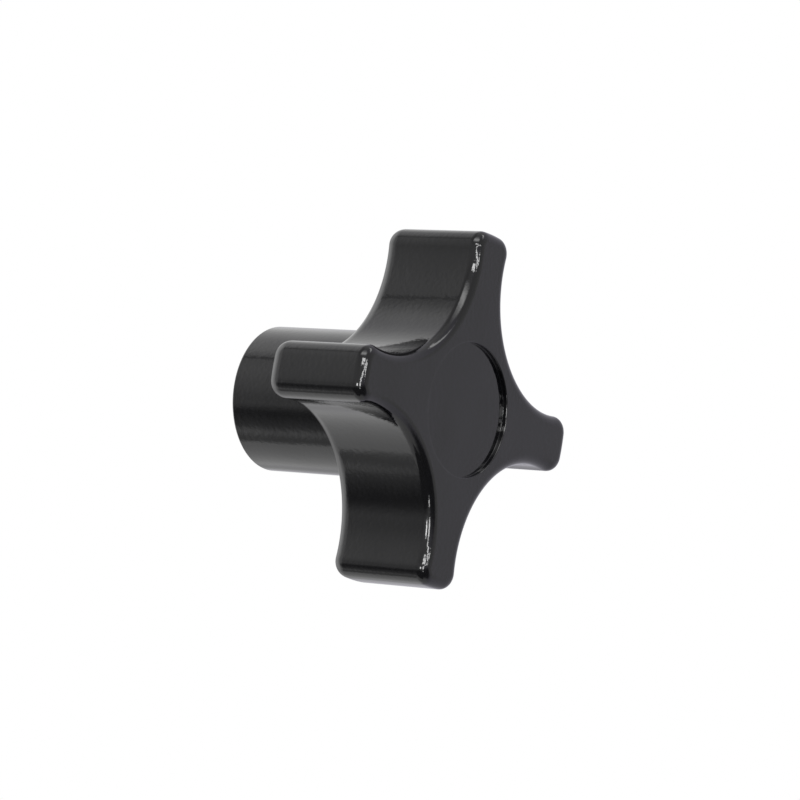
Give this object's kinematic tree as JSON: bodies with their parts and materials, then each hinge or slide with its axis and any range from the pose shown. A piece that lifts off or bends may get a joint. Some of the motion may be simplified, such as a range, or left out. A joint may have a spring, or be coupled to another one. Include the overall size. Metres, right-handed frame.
{
  "type": "clamping knob",
  "caption": "Cross-shaped hand knob with deep rounded arms, a long round hub and a blind threaded brass insert for clamping onto a stud.",
  "frame": {"origin": "centre of the hub's seat, on the thread's axis", "axes": "+Y out of the threaded mouth, along the axis towards the stud; the grip face looks along -Y; the arms point along +X, -X, +Z and -Z"},
  "size_m": [0.05, 0.0335, 0.05],
  "materials": {
    "gloss_black": "glossy moulded black thermoset with a faint moulding texture",
    "brass": "turned brass, bare, with fine tool marks"
  },
  "bodies": {
    "root": {"knob_body": "gloss_black", "threaded_insert": "brass"}
  },
  "joints": []
}
